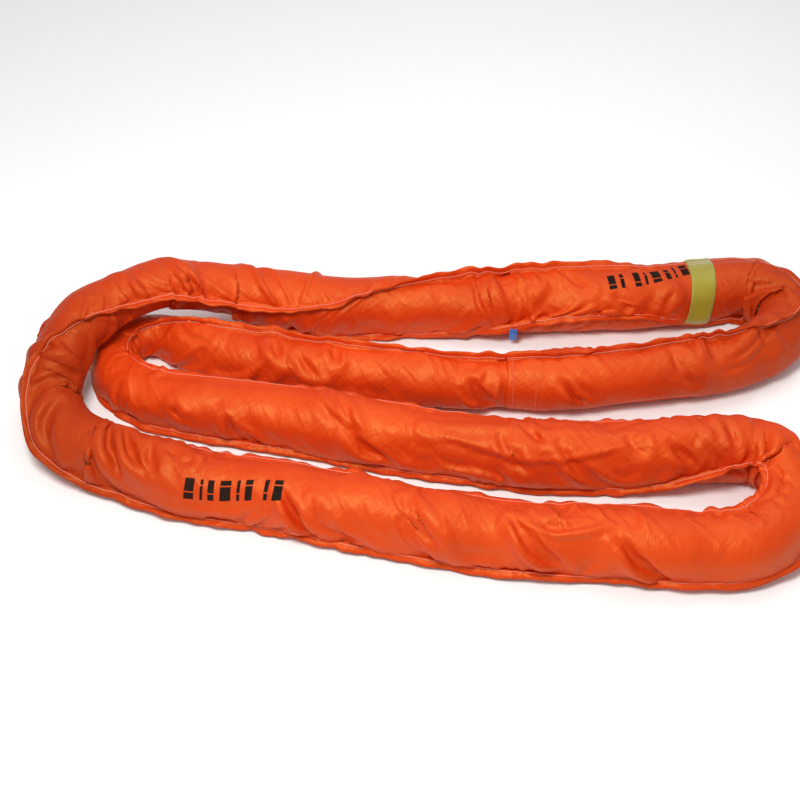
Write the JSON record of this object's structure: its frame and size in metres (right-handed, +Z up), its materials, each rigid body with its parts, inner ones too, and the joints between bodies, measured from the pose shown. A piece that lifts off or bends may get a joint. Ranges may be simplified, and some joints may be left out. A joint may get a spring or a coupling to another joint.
{
  "type": "round sling",
  "caption": "Endless round sling: yarn hank in a two-panel sewn sleeve, laid in one long folded loop, with label and tag.",
  "frame": {"origin": "centre of the sling's footprint, on the floor", "axes": "+X along the folded sling, from its left bend towards its two right bends; +Y from the near run to the far run; +Z up"},
  "size_m": [1.5254, 0.7899, 0.1849],
  "materials": {
    "orange_polyester": "tight ribbed weave with a satin sheen",
    "polyester_yarn": "parallel continuous-filament yarn",
    "binding_tape": "woven adhesive tape",
    "sewing_thread": "twisted polyester thread",
    "label_thread": "twisted polyester thread",
    "yellow_webbing": "flat woven tape, slightly glossy",
    "blue_polyester": "woven tape"
  },
  "bodies": {
    "sling": {"core_hank": "polyester_yarn", "hank_ties": "binding_tape", "yarn_end_tape": "binding_tape", "marked_sleeve_panel": "orange_polyester", "plain_sleeve_panel": "orange_polyester", "seam_one_needle_thread": "sewing_thread", "seam_one_bobbin_thread": "sewing_thread", "seam_two_needle_thread": "sewing_thread", "seam_two_bobbin_thread": "sewing_thread", "sleeve_joint_stitching": "sewing_thread"},
    "label": {"id_label": "yellow_webbing", "id_label_stitching": "label_thread"},
    "tag": {"blue_tag": "blue_polyester", "blue_tag_stitching": "label_thread"}
  },
  "joints": [
    {"name": "label_lift", "type": "hinge", "parent": "sling", "child": "label", "pos_m": [0.54869, 0.37261, 0.10756], "axis": [-0.9887, -0.1499, 0], "range_deg": [0, 85]},
    {"name": "tag_lift", "type": "hinge", "parent": "sling", "child": "tag", "pos_m": [0.17299, 0.2122, 0.05635], "axis": [-0.9994, -0.0357, 0], "range_deg": [0, 100]}
  ]
}
